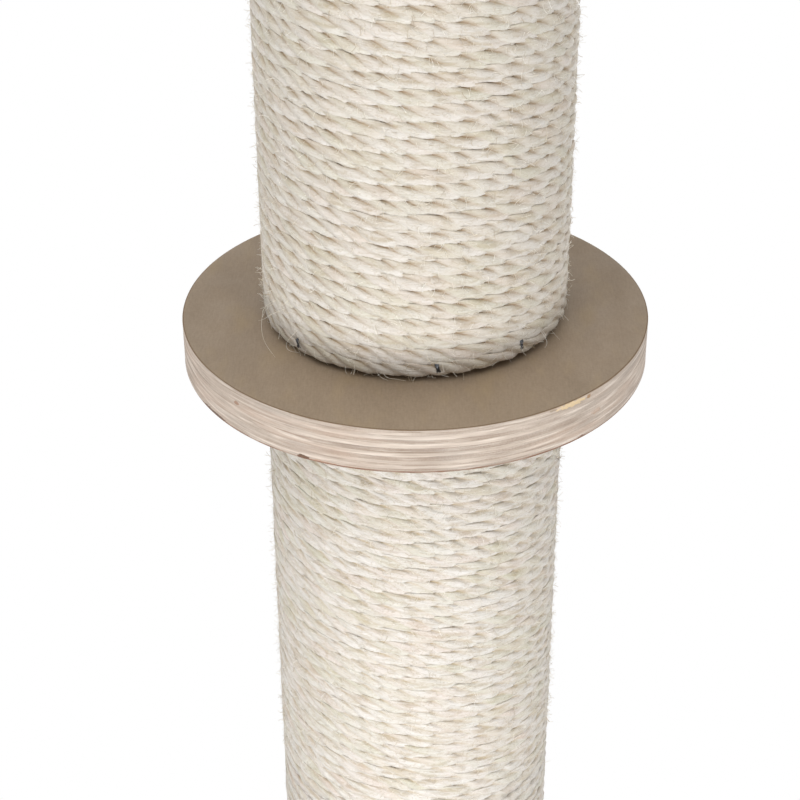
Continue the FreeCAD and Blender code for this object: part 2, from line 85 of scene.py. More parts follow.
class Wire:  # a socket that takes part in sums, so that trees read like formulas
    def __init__(self, tree, socket):
        self.tree = tree
        self.socket = socket

    def calc(self, operation, *others, clamp=False):
        values = dict(enumerate((self, *others)))
        return run(self.tree, "ShaderNodeMath", values, operation=operation, use_clamp=clamp)

    def __add__(self, other):
        return self.calc("ADD", other)

    def __sub__(self, other):
        return self.calc("SUBTRACT", other)

    def __rsub__(self, other):
        return self.calc("MULTIPLY_ADD", -1, other)

    def __mul__(self, other):
        return self.calc("MULTIPLY", other)

    def __truediv__(self, other):
        return self.calc("DIVIDE", other)

    def spread(self, low, high, first=0, last=1, smooth=False):  # low..high becomes first..last, clamped
        values = {"Value": self, "From Min": low, "From Max": high, "To Min": first, "To Max": last}
        style = "SMOOTHSTEP" if smooth else "LINEAR"
        return run(self.tree, "ShaderNodeMapRange", values, interpolation_type=style)

    def vector(self, operation, *others):
        values = dict(enumerate((self, *others)))
        output = "Value" if operation in ("LENGTH", "DOT_PRODUCT") else "Vector"
        return run(self.tree, "ShaderNodeVectorMath", values, output, operation=operation)

    def scaled(self, amount):
        return run(self.tree, "ShaderNodeVectorMath", {0: self, "Scale": amount}, operation="SCALE")

    def stretched(self, x, y, z):
        return self.vector("MULTIPLY", joinXyz(self.tree, x, y, z))

    def parts(self):
        node = addNode(self.tree, "ShaderNodeSeparateXYZ", {"Vector": self})
        return [Wire(self.tree, socket) for socket in node.outputs]

    def polar(self, radius, height):  # the point at this angle round the Z axis
        return joinXyz(self.tree, self.calc("COSINE") * radius, self.calc("SINE") * radius, height)

    def noise(self, scale=1, detail=2, output="Fac"):
        values = {"Vector": self, "Scale": scale, "Detail": detail}
        return run(self.tree, "ShaderNodeTexNoise", values, output)

    def through(self, group, output, values):  # a shared effect at this place
        return run(self.tree, "ShaderNodeGroup", {"Space": self, **values}, output, node_tree=group)

    def between(self, first, second):  # this share of the second colour in the first
        return run(self.tree, "ShaderNodeMix", {"Factor": self, 6: first, 7: second}, 2, data_type="RGBA")

    def bands(self, stops):  # hard steps of grey
        node = addNode(self.tree, "ShaderNodeValToRGB", {"Fac": self})
        node.color_ramp.interpolation = "CONSTANT"
        marks = node.color_ramp.elements
        while len(marks) < len(stops):
            marks.new(1)
        for mark, (place, level) in zip(marks, stops):
            mark.position = place
            mark.color = (level, level, level, 1)
        return Wire(self.tree, node.outputs["Color"])

    def then(self, kind, values=None, **settings):  # the next geometry node
        return geo(self.tree, kind, {0: self, **(values or {})}, **settings)

    def store(self, name, value, kind="FLOAT", domain="POINT"):
        values = {"Name": name, "Value": value}
        return self.then("StoreNamedAttribute", values, data_type=kind, domain=domain)


def joinXyz(tree, x, y, z):
    return run(tree, "ShaderNodeCombineXYZ", {"X": x, "Y": y, "Z": z})


def newTree(name, kind, inputs, outputs):  # sockets are listed by their kind
    tree = bpy.data.node_groups.new(name, kind)
    for way, sockets in (("INPUT", inputs), ("OUTPUT", outputs)):
        for socketKind, labels in sockets.items():
            for label in labels:
                tree.interface.new_socket(label, in_out=way, socket_type=f"NodeSocket{socketKind}")
    start = tree.nodes.new("NodeGroupInput")
    end = tree.nodes.new("NodeGroupOutput")
    given = {socket.name: Wire(tree, socket) for socket in start.outputs if socket.name}
    return tree, given, end


def newGrower(name, floats, ints=()):
    inputs = {"Geometry": ["Geometry"], "Float": floats, "Int": ints, "Material": ["Material"]}
    return newTree(name, "GeometryNodeTree", inputs, {"Geometry": ["Geometry"]})


def finishGrower(given, end, geometry):
    geometry = geometry.then("RealizeInstances").then("SetMaterial", {"Material": given["Material"]})
    feed(geometry.tree, end.inputs["Geometry"], geometry)
    return geometry.tree


# Helpers for pieces and materials

def newObject(name, data):
    piece = bpy.data.objects.new(name, data)
    scene.collection.objects.link(piece)
    return piece


def growPiece(name, tree, values, seed=None):  # runs a geometry tree and keeps its result as a plain mesh
    holder = newObject(f"{name}Grower", seed or bpy.data.meshes.new(f"{name}Seed"))
    grower = holder.modifiers.new("grow", "NODES")
    grower.node_group = tree
    for item in tree.interface.items_tree:
        if item.in_out == "INPUT" and item.name in values:
            grower[item.identifier] = values[item.name]
    graph = bpy.context.evaluated_depsgraph_get()
    grown = holder.evaluated_get(graph)
    mesh = bpy.data.meshes.new_from_object(grown, preserve_all_data_layers=True, depsgraph=graph)
    mesh.name = name
    bpy.data.objects.remove(holder)
    return newObject(name, mesh)


def finishMesh(name, bm, materials):
    mesh = bpy.data.meshes.new(name)
    bmesh.ops.recalc_face_normals(bm, faces=bm.faces)
    bm.to_mesh(mesh)
    bm.free()
    for material in materials:
        mesh.materials.append(material)
    return mesh


def settle(piece, body, slot, *nodes):  # ties a finished piece to the frame
    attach(piece, body)
    if nodes:
        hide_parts(*nodes)


def fit(name, mesh, body, slot, *nodes):
    settle(newObject(name, mesh), body, slot, *nodes)


def newMaterial(name, specular=0.5, metallic=0):
    material = bpy.data.materials.new(name)
    material.use_nodes = True
    surface = material.node_tree.nodes["Principled BSDF"]
    surface.inputs["Metallic"].default_value = metallic
    surface.inputs["Specular IOR Level"].default_value = specular
    return material, run(material.node_tree, "ShaderNodeTexCoord", output="Object")


def attribute(tree, name, output="Fac"):
    return run(tree, "ShaderNodeAttribute", output=output, attribute_name=name)


def layered(colour, layers):  # colours over each other, each with its share
    for share, over in layers:
        colour = share.between(colour, over)
    return colour


def coat(material, colour, roughness, height=None, depth=0):
    tree = material.node_tree
    inputs = tree.nodes["Principled BSDF"].inputs
    feed(tree, inputs["Base Color"], colour)
    feed(tree, inputs["Roughness"], roughness)
    if height is not None:
        values = {"Height": height, "Distance": depth, "Strength": 1}
        feed(tree, inputs["Normal"], run(tree, "ShaderNodeBump", values))
    return material


# Shared surface effects

def newEffect(name, inputs, outputs):
    return newTree(name, "ShaderNodeTree", {"Vector": ["Space"], "Float": inputs}, {"Float": outputs})


def fibreGroup():
    tree, given, end = newEffect("sisalFibres", ["Across", "Along"], ["Streak", "Lock"])
    fineSpace = given["Space"].stretched(given["Along"], given["Across"], given["Across"])
    coarseSpace = fineSpace.stretched(0.45, 0.28, 0.28)
    feed(tree, end.inputs["Streak"], fineSpace.noise(detail=3).spread(0.32, 0.68))
    feed(tree, end.inputs["Lock"], coarseSpace.noise(detail=1).spread(0.3, 0.7))
    return tree


def grainGroup():
    tree, given, end = newEffect("woodGrain", ["Turned", "Across", "Along"], ["Grain"])
    across, along = given["Across"], given["Along"]
    straight = given["Space"].stretched(along, across, across).noise(detail=4)
    athwart = given["Space"].stretched(across, along, across).noise(detail=4)
    grain = straight + (athwart - straight) * given["Turned"]
    feed(tree, end.inputs["Grain"], grain.spread(0.28, 0.72))
    return tree


def scuffGroup():
    tree, given, end = newEffect("scuffs", ["Scale"], ["Scuff", "Mottle"])
    scratches = given["Space"].stretched(1, 1, 14).noise(given["Scale"] * 2.5, detail=3)
    mottle = given["Space"].noise(given["Scale"], detail=5)
    feed(tree, end.inputs["Scuff"], scratches.spread(0.58, 0.74))
    feed(tree, end.inputs["Mottle"], mottle.spread(0.3, 0.7))
    return tree


fibres = fibreGroup()
woodGrain = grainGroup()
scuffs = scuffGroup()


# Materials

ropeFinish = {
    "pale": paint(224, 220, 215),
    "cream": paint(190, 182, 168),
    "straw": paint(158, 136, 98),
    "green": paint(186, 184, 150),
    "pink": paint(208, 184, 168),
    # painted shade: colours put into the grooves between strands, for deep and for shallow grooves
    "groove": paint(132, 100, 58),
    "shallowGrooveShade": paint(170, 140, 84),  # shallow grooves
    "across": 1050,  # fibre streaks per metre round the strand
    "along": 150,
    "tint": 0.42,  # strength of the pink and green strands
    "paleTint": 0.25,
    "wisp": 0.55,
    "stray": 0.4,
    "bump": 0.16 * mm,
}


def hairLines(space, width):  # thin lines where a noise passes its middle
    return (space.noise(detail=1) - 0.5).calc("ABSOLUTE").spread(0, width, 1, 0)


def sisalMaterial():
    look = ropeFinish
    material, _ = newMaterial("sisal", specular=0.35)
    tree = material.node_tree
    space = attribute(tree, "fibreSpace", "Vector")
    across, along = look["across"], look["along"]
    size = {"Across": across, "Along": along}
    streak, lock = [space.through(fibres, output, size) for output in ("Streak", "Lock")]
    tintSpace = joinXyz(tree, space.parts()[0] * 32, attribute(tree, "strandNumber") * 7.3, 0)
    tint = tintSpace.noise(detail=1, output="Color")
    warm, cool, pale = [channel.spread(0.45, 0.75) for channel in tint.parts()]
    wispSpace = space.stretched(along * 1.5, across * 0.42, across * 0.42)
    wisp = hairLines(wispSpace, 0.035)
    stray = hairLines(wispSpace.vector("ADD", (7, 3, 5)), 0.03)
    rowEdge, depth, relief = [attribute(tree, name) for name in ("rowEdge", "ropeDepth", "ropeRelief")]
    # painted shade: the upper part of each turn, under the turn above, is tinted darker towards straw
    paintedBrowShade = rowEdge.spread(-0.5, 0.9) * relief.spread(0.75, 0.95, 0.04, 0.38)  # under the turn above
    # painted shade: the grooves between strands take the hollow shade colour, more so towards the upper part of
    # each turn
    shaded = depth.spread(0.73, 0.92, 1, 0) * rowEdge.spread(-0.2, 0.8)
    hollowShade = relief.spread(0.8, 0.93).between(look["shallowGrooveShade"], look["groove"])
    # painted shade: a thin dark line along the crease between strands, stronger towards the top of each turn
    seam = depth.spread(0.72, 0.78, 1, 0) * rowEdge.spread(-0.7, 0.6, 0.1, 1)
    seam = seam * relief.spread(0.75, 0.95, 0.42, 0.85)
    colour = layered(streak.spread(0, 1, 0.45, 1).between(look["cream"], look["pale"]), [
        (lock.spread(0.55, 1, 0, 0.5), look["straw"]),
        (warm * look["tint"], look["pink"]),
        (cool * look["tint"], look["green"]),
        (pale * look["paleTint"], look["pale"]),
        (wisp * look["wisp"], look["pale"]),
        (stray * look["stray"], look["straw"]),
        (relief.spread(0.8, 0.95, 0, 0.2), look["cream"]),
        (paintedBrowShade * depth.spread(0.75, 1, 1, 0.45), look["straw"]),
        (shaded * relief.spread(0.75, 0.95, 0.22, 0.5), hollowShade),
        (seam * streak.spread(0.2, 0.8, 0.6, 0.25), hollowShade),
        # painted highlight: the lower edge of each turn is lightened towards pale
        (rowEdge.spread(-0.45, -0.95, 0, 0.2), look["pale"]),
    ])
    pressed = rowEdge.calc("ABSOLUTE").spread(0.4, 0.85, 1, 0.1)
    height = (streak + lock * 0.6 + wisp * 0.5) * pressed
    for name, value in (("Weight", 0.3), ("Roughness", 0.4), ("Tint", look["pale"])):
        tree.nodes["Principled BSDF"].inputs[f"Sheen {name}"].default_value = value
    return coat(material, colour, streak.spread(0, 1, 0.75, 0.48), height, look["bump"])


def looseFibreMaterial():
    material, space = newMaterial("looseSisal", specular=0.3)
    shade = space.noise(90).spread(0.35, 0.65)
    brown = attribute(space.tree, "hairShade").spread(0.7, 0.95, 0, 0.75)
    colour = shade.between(paint(226, 217, 198), paint(246, 243, 236))
    colour = brown.between(colour, paint(158, 134, 96))
    streak = space.through(fibres, "Streak", {"Across": 900, "Along": 300})
    return coat(material, colour, streak.spread(0, 1, 0.7, 0.5))


filmFinish = {
    "face": paint(162, 144, 123),
    "dark": paint(140, 123, 103),
    "gold": paint(168, 146, 110),
    "edge": paint(128, 108, 86),
}


def filmMaterial():
    look = filmFinish
    material, space = newMaterial("filmFace", specular=0.4)
    streak = space.through(woodGrain, "Grain", {"Turned": 1, "Across": 1000, "Along": 160})
    broad = space.stretched(60, 25, 60).noise(detail=3).spread(0.35, 0.65)
    speckle = space.noise(750).spread(0.35, 0.65)
    gold = space.stretched(70, 30, 70).noise(detail=3).spread(0.52, 0.72)
    shade = streak * 0.4 + broad * 0.3 + speckle * 0.24 + 0.12
    colour = (gold * 0.3).between(shade.between(look["face"], look["dark"]), look["gold"])
    mottle = space.through(scuffs, "Mottle", {"Scale": 60})
    return coat(material, colour, mottle.spread(0, 1, 0.46, 0.6), streak, 0.05 * mm)


# Layers of the plywood from the top face down: thickness in mm, and how pale or dark its rim is at the front
plyLayers = [
    (3.3, -0.15), (2.3, 0.5), (2.1, -0.5), (2.4, 1), (2.6, -1), (2.1, 0.55),
    (2.5, -0.6), (1.7, 0.35), (0.8, -0.35), (1.9, 0.5), (2.3, -0.7),
]
plyTotal = sum(thickness for thickness, _ in plyLayers)
plyFinish = {
    "pale": paint(204, 190, 177),
    "dark": paint(150, 133, 118),
    "pink": paint(192, 166, 148),
    "grey": paint(172, 163, 155),
    "chalk": paint(228, 216, 204),
    "fray": paint(134, 120, 110),
    "foot": paint(126, 92, 72),
    "waviness": 0.024,  # share of the thickness
    "film": 0.016,
    "toneRange": 2.6,
}
collarRadius = 120 * mm
collarMarks = [  # on the rim: bearing in degrees, height, width and thickness in mm, strength, colour
    (38.6, 871.2, 20, 3, 0.7, paint(226, 200, 154)),
    (44, 871.2, 3, 2.2, 0.8, paint(158, 124, 88)),
    (33, 871.6, 5, 1.2, 0.7, paint(150, 132, 112)),
    (-26.5, 850, 7, 2.6, 0.95, paint(104, 78, 62)),
    (-21.5, 849.8, 14, 1.8, 0.55, paint(164, 122, 96)),
    (-56, 849.8, 26, 2.4, 0.85, paint(92, 78, 68)),
    (42, 849.6, 7, 1.8, 0.8, paint(120, 94, 74)),
    (-46, 865.5, 3.4, 2.6, 0.75, paint(150, 114, 92)),
    (47, 860, 7, 2.6, 0.5, paint(182, 152, 130)),
]


def rimMark(space, bearing, height, width, tall, strength):  # a ragged stain or chip on a round rim
    aside, ahead = math.sin(math.radians(bearing)), math.cos(math.radians(bearing))
    away = space.vector("SUBTRACT", (collarRadius * aside, -collarRadius * ahead, height * mm))
    along = away.vector("DOT_PRODUCT", (ahead, aside, 0)) / (width * mm / 2)
    up = away.parts()[2] / (tall * mm / 2)
    ragged = (space.stretched(480, 480, 1000).noise(detail=3) - 0.5) * 1.9
    reach = (along * along + up * up).calc("SQRT") + ragged
    return reach.spread(0.75, 1.1, strength, 0, smooth=True)


def plyRimMaterial(name, marks=()):
    look = plyFinish
    material, space = newMaterial(name, specular=0.25)
    wave = space.stretched(28, 28, 120).noise() - 0.5
    depth = attribute(space.tree, "plyDepth") + wave * look["waviness"]
    stops, reached = [], 0
    for thickness, tone in plyLayers:
        stops.append((reached / plyTotal, 0.5 + tone / look["toneRange"]))
        reached += thickness
    level = depth.bands(stops) - 0.5
    facing = attribute(space.tree, "rimFacing")
    tone = level * look["toneRange"] * facing  # pale long grain and dark end grain, the reverse at the sides
    turned = level.calc("LESS_THAN", 0)
    grain = space.through(woodGrain, "Grain", {"Turned": turned, "Across": 900, "Along": 35})
    sawn = space.stretched(45, 45, 1100).noise(detail=3).spread(0.3, 0.7)
    blotch = space.stretched(60, 60, 200).noise(detail=3)
    # painted light: the rim is made a little darker at the front and lighter at the sides
    shade = tone * 0.38 + 0.6 - facing * 0.05
    shade = shade + (grain - 0.5) * 0.12 + (sawn - 0.5) * 0.55 + (blotch - 0.5) * 0.6
    tints = space.stretched(22, 22, 160).noise(output="Color")
    pink, grey, _ = [channel.spread(0.5, 0.75) for channel in tints.parts()]
    chalk = space.stretched(34, 34, 640).noise(detail=3).spread(0.52, 0.7)
    fray = space.stretched(60, 60, 1500).noise().spread(0.56, 0.72)
    film = look["film"]
    foot = depth.spread(1 - film * 3.4, 1 - film * 2.2)
    colour = layered(shade.calc("MAXIMUM", 0, clamp=True).between(look["dark"], look["pale"]), [
        (pink * 0.5, look["pink"]),
        (grey * 0.45, look["grey"]),
        (chalk * 0.7, look["chalk"]),
        (fray * 0.32, look["fray"]),
        *[(rimMark(space, *mark), stain) for *mark, stain in marks],
        (depth.spread(film * 0.7, film, 1, 0), filmFinish["edge"]),
        (foot * blotch.spread(0.35, 0.6, 0.3, 1), look["foot"]),
    ])
    roughness = grain.spread(0, 1, 0.82, 0.66)
    return coat(material, colour, roughness, grain + level * 0.6, 0.22 * mm)


def plainPlyMaterial():
    material, space = newMaterial("plugPly", specular=0.25)
    layer = (space.parts()[2] * 480).calc("SINE").spread(-0.3, 0.3)
    grain = space.through(woodGrain, "Grain", {"Turned": layer, "Across": 700, "Along": 30})
    colour = (grain * 0.6 + layer * 0.3).between(paint(192, 164, 128), paint(224, 203, 172))
    return coat(material, colour, grain.spread(0, 1, 0.82, 0.68), grain, 0.15 * mm)


def cardMaterial():
    stripWidth = 0.11
    material, space = newMaterial("tubeCard", specular=0.2)
    x, y, height = space.parts()
    wrap = y.calc("ARCTAN2", x) / fullTurn
    seam = (height / stripWidth + wrap).calc("FRACT").spread(0, 0.012, 1, 0)  # spiral joint
    pulp = space.stretched(220, 220, 140).noise(detail=4).spread(0.3, 0.7)
    colour = pulp.between(paint(150, 118, 82), paint(178, 146, 108))
    colour = (seam * 0.6).between(colour, paint(112, 84, 56))
    return coat(material, colour, pulp.spread(0, 1, 0.9, 0.78), pulp - seam, 0.12 * mm)


def steelMaterial(name, bright, dull, roughness, scale):
    material, space = newMaterial(name, metallic=1)
    mottle, scratch = [space.through(scuffs, output, {"Scale": scale}) for output in ("Mottle", "Scuff")]
    colour = (scratch * 0.4).between(mottle.between(dull, bright), dull)
    roughness = mottle * -0.12 + scratch * 0.2 + (roughness + 0.06)
    return coat(material, colour, roughness, mottle - scratch, 0.03 * mm)


def rubberMaterial():
    material, space = newMaterial("padRubber", specular=0.3)
    pores = space.noise(900, detail=3).spread(0.35, 0.65)
    dust = space.through(scuffs, "Mottle", {"Scale": 45})
    colour = pores.between(paint(38, 37, 36), paint(58, 56, 54))
    colour = (dust * 0.25).between(colour, paint(96, 92, 86))
    return coat(material, colour, dust.spread(0, 1, 0.72, 0.9), pores, 0.12 * mm)


sisal = sisalMaterial()
looseSisal = looseFibreMaterial()
filmFace = filmMaterial()
plyRim = plyRimMaterial("plyRim")
collarRim = plyRimMaterial("collarRim", collarMarks)
plugPly = plainPlyMaterial()
tubeCard = cardMaterial()
zincSteel = steelMaterial("zincSteel", paint(206, 208, 208), paint(150, 153, 156), 0.34, 120)
stapleSteel = steelMaterial("stapleSteel", paint(112, 113, 116), paint(58, 59, 62), 0.42, 400)
padRubber = rubberMaterial()
print("materials ready")


# Rope windings

ropeShape = {  # inputs of the winding tree that all sections share
    "Rope Radius": 4.5 * mm,
    "Tube Radius": 70 * mm,
    "Winding Radius": 73.7 * mm,  # from the axis to the middle of the rope
    "Level Turns": 8.0,  # end turns that lie flatter before the winding climbs steadily
    "Foot Turns": 3.2,  # the first turn climbs as if it were this far up
    "Level Part": 0.65,  # share of a flat turn before its climb
    "Start Angle": math.radians(153),  # the rope's end and its climbs stay at the back
    "Wander": 0.9 * mm,
    "Uneven": 3.0,  # in the strands' twist
    "Roundness": 0.12,
    "Lean": -0.02,
    "Squash": 1.05,
    "Squash Power": 0.12,
    "Lumps": 0.3,
    "Clearance": 0.05 * mm,  # from the tube
}
ropeSizes = {
    "strandsPerTurn": 38,  # strand crests along one turn round the post
    "strandRadius": 0.62,  # shares of the rope's radius
    "strandOffset": 0.38,
    "margin": 1.9 * mm,  # bare tube at each end of a winding
    "lastPart": 0.64,  # share of the last turn that is wound
}
ropeWindings = {  # turn spacing, depth of the grooves, and the turns that are seen close by
    "lower": {"pitch": 8 * mm, "relief": 0.8, "fibreTurn": 0.7, "closeTurns": 32, "closeEnd": "top"},
    "middle": {"pitch": 7.76 * mm, "relief": 0.95, "fibreTurn": 0.8, "closeTurns": 26, "closeEnd": "bottom"},
    "upper": {"pitch": 8 * mm, "relief": 0.85, "fibreTurn": 0.7, "closeTurns": 0, "closeEnd": "bottom"},
    "top": {"pitch": 8 * mm, "relief": 0.85, "fibreTurn": 0.7, "closeTurns": 0, "closeEnd": "bottom"},
}
# fuzz is in hairs per square metre
closeRope = {"stepsPerStrand": 6.5, "profilePoints": 18, "turnsPerPiece": 16, "fuzz": 112000.0}
plainRope = {"stepsPerStrand": 2.25, "profilePoints": 10, "turnsPerPiece": 72, "fuzz": 3500.0}


def named(tree, name, kind="FLOAT"):
    return geo(tree, "InputNamedAttribute", {"Name": name}, data_type=kind)


def pointLine(tree, count):
    return geo(tree, "CurvePrimitiveLine").then("ResampleCurve", {"Count": count}, mode="COUNT")


def strandProfile(tree, given):  # three touching strands in cross-section
    offset, third = ropeSizes["strandOffset"], fullTurn / 3
    around = geo(tree, "InputIndex") / given["Profile Points"] * fullTurn
    strand = (around / third + 0.5).calc("FLOOR")
    lean = around - strand * third
    reach = ropeSizes["strandRadius"] ** 2 - (lean.calc("SINE") * offset).calc("POWER", 2)
    reach = (reach.calc("SQRT") + lean.calc("COSINE") * offset) * given["Rope Radius"]
    circle = geo(tree, "CurvePrimitiveCircle", {"Resolution": given["Profile Points"], "Radius": 1})
    shaped = circle.then("SetPosition", {"Position": around.polar(reach, 0)}).store("strandAngle", around)
    return shaped.store("strandNumber", strand - (strand / 2.5).calc("FLOOR") * 3)


def windingTree():
    ownInputs = ["Steps Per Turn", "Turns In All", "Start Height", "Pitch", "Lay", "Relief", "Fibre Turn"]
    counts = ["First Point", "Point Count", "Profile Points"]
    tree, given, end = newGrower("ropeWinding", [*ownInputs, *ropeShape], counts)
    ropeRadius, windRadius = given["Rope Radius"], given["Winding Radius"]
    # the rope's middle line
    turn = (geo(tree, "InputIndex") + given["First Point"]) / given["Steps Per Turn"]
    whole = turn.calc("FLOOR")
    part = turn - whole
    fromEnd = (whole + given["Foot Turns"]).calc("MINIMUM", given["Turns In All"] - 1 - whole)
    steady = (fromEnd / given["Level Turns"]).calc("MINIMUM", 1)
    climb = steady * part + (1 - steady) * part.spread(given["Level Part"], 1, smooth=True)
    height = given["Start Height"] + given["Pitch"] * (whole + climb)
    angle = given["Start Angle"] + turn * fullTurn
    ideal = angle.polar(windRadius, height)
    sway = ideal.stretched(40, 40, 110).noise(detail=1, output="Color")
    swayOut, swayUp, swayTwist = [channel - 0.5 for channel in sway.parts()]
    along = turn * windRadius * fullTurn
    line = pointLine(tree, given["Point Count"]).store("ropeTurn", turn).store("ropeAlong", along)
    line = line.store("ropeTwist", along / given["Lay"] * fullTurn + swayTwist * given["Uneven"])
    plump = ideal.stretched(55, 55, 130).noise(detail=1).spread(0.3, 0.7, 0.94, 1.06)
    line = line.store("ropePlump", plump)
    middle = angle.polar(windRadius + swayOut * given["Wander"], height + swayUp * given["Wander"])
    line = line.store("ropeMiddle", middle, "FLOAT_VECTOR")
    middle = named(tree, "ropeMiddle", "FLOAT_VECTOR")
    along, twist = named(tree, "ropeAlong"), named(tree, "ropeTwist")
    line = line.then("SetPosition", {"Position": middle}).then("SetCurveNormal", mode="Z_UP")
    rope = line.then("SetCurveTilt", {"Tilt": twist}).then("CurveToMesh", {
        "Profile Curve": strandProfile(tree, given), "Scale": named(tree, "ropePlump"), "Fill Caps": True})
    # each turn is pressed flat against its neighbours and the tube
    offset = geo(tree, "InputPosition").vector("SUBTRACT", middle)
    outward = middle.stretched(1, 1, 0).vector("NORMALIZE")
    out = offset.vector("DOT_PRODUCT", outward)
    up = offset.parts()[2]
    reach = offset.vector("LENGTH")
    upShare = up / ropeRadius
    pressedOut = out.calc("MAXIMUM", given["Tube Radius"] + given["Clearance"] - windRadius) - out
    outside = (out / ropeRadius).spread(-0.95, -0.05, smooth=True)
    below = upShare.spread(-0.5, 0.1, smooth=True)  # the lowest turn keeps its round underside
    outside = outside * below.calc("MAXIMUM", named(tree, "ropeTurn").calc("GREATER_THAN", 1))
    face = (out / reach - 1) * given["Roundness"] + 1
    groove = upShare.spread(-0.7, 0.5, 0.45, 1, smooth=True) * given["Relief"]
    face = face * ropeRadius - (ropeRadius - reach) * groove
    pressedOut = pressedOut + (face - out - up * given["Lean"]) * outside
    squash = (ropeRadius / reach).calc("POWER", given["Squash Power"]) * given["Squash"]
    push = outward.scaled(pressedOut).vector("ADD", joinXyz(tree, 0, 0, up * (squash - 1)))
    lumpSpace = joinXyz(tree, along * 90, named(tree, "strandNumber") * 5.7, 0)
    lump = (lumpSpace.noise() - 0.5) * given["Lumps"]
    rope = rope.store("ropeDepth", reach / ropeRadius)
    rope = rope.store("ropeRelief", given["Relief"].calc("MINIMUM", 1))
    rope = rope.store("rowEdge", up * squash / given["Pitch"] * 2)
    rope = rope.then("SetPosition", {"Offset": offset.scaled(lump)}).then("SetPosition", {"Offset": push})
    # fibres lie between the strand's direction and the rope's
    spin = named(tree, "strandAngle") + twist * given["Fibre Turn"]
    fibreSpace = joinXyz(tree, along, spin.calc("COSINE") * ropeRadius, spin.calc("SINE") * ropeRadius)
    rope = rope.store("fibreSpace", fibreSpace, "FLOAT_VECTOR")
    for spare in ("ropeTurn", "ropeAlong", "ropeTwist", "ropePlump", "ropeMiddle", "strandAngle"):
        rope = rope.then("RemoveAttribute", {"Name": spare})
    return finishGrower(given, end, rope.then("SetShadeSmooth"))


def windingSize(section):  # height of the first turn, number of turns and their exact spacing
    low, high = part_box(f"{section}_core_tube")
    wound = high.z - low.z - 2 * ropeSizes["margin"]
    spacing = ropeWindings[section]["pitch"]
    turns = round(wound / spacing)
    return low.z + ropeSizes["margin"] + spacing / 2, turns, (wound - spacing) / (turns - 1)


def windSection(section, tree):
    winding = ropeWindings[section]
    start, turns, pitch = windingSize(section)
    shared = {
        **ropeShape,
        "Turns In All": float(turns),
        "Start Height": start,
        "Pitch": pitch,
        "Lay": 3 * fullTurn * ropeShape["Winding Radius"] / ropeSizes["strandsPerTurn"],
        "Relief": winding["relief"],
        "Fibre Turn": winding["fibreTurn"],
        "Material": sisal,
    }
    closeTurns = winding["closeTurns"]
    closeFirst = 0 if winding["closeEnd"] == "bottom" else turns - closeTurns
    plainFirst = closeTurns if closeFirst == 0 else 0
    runs = [(closeRope, closeFirst, closeTurns, f"{section}_rope_turns")] if closeTurns else []
    runs.append((plainRope, plainFirst, turns - closeTurns, f"{section}_rope_sleeve"))
    pieces = []
    for detail, first, count, node in runs:
        stepsPerTurn = round(ropeSizes["strandsPerTurn"] * detail["stepsPerStrand"])
        for begin in range(first, first + count, detail["turnsPerPiece"]):
            finish = min(begin + detail["turnsPerPiece"], first + count)
            length = finish - begin if finish < turns else finish - begin - 1 + ropeSizes["lastPart"]
            piece = growPiece(f"{section}_rope_{begin}", tree, {
                **shared,
                "First Point": begin * stepsPerTurn,
                "Point Count": round(length * stepsPerTurn) + 1,
                "Profile Points": detail["profilePoints"],
                "Steps Per Turn": float(stepsPerTurn),
            })
            settle(piece, "post", "sisal_rope", node)
            pieces.append((piece, detail["fuzz"]))
    if not closeTurns:
        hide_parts(f"{section}_rope_turns")
    return pieces


ropeTree = windingTree()
ropePieces = [made for section in ropeWindings for made in windSection(section, ropeTree)]
print("rope wound:", sum(len(piece.data.polygons) for piece, _ in ropePieces), "faces")


# Fuzz that stands out of the rope

fuzzShape = {"Shortest": 0.8 * mm, "Longest": 4.5 * mm}
fuzzSeed = 17
hairShape = {"radius": 0.026, "root": -0.05, "flattest": 1.62, "lift": 0.9}  # in its own length, and radians
hairBends = [  # middle and end of each kind of hair, in its own length, Z away from the rope
    ((0.15, 0, 0.5), (0.5, 0.1, 0.85)),
    ((-0.1, 0.15, 0.55), (0.1, 0.5, 0.9)),
    ((0.3, 0, 0.3), (0.85, -0.1, 0.45)),
    ((0, 0.2, 0.6), (-0.35, 0.25, 0.95)),
]


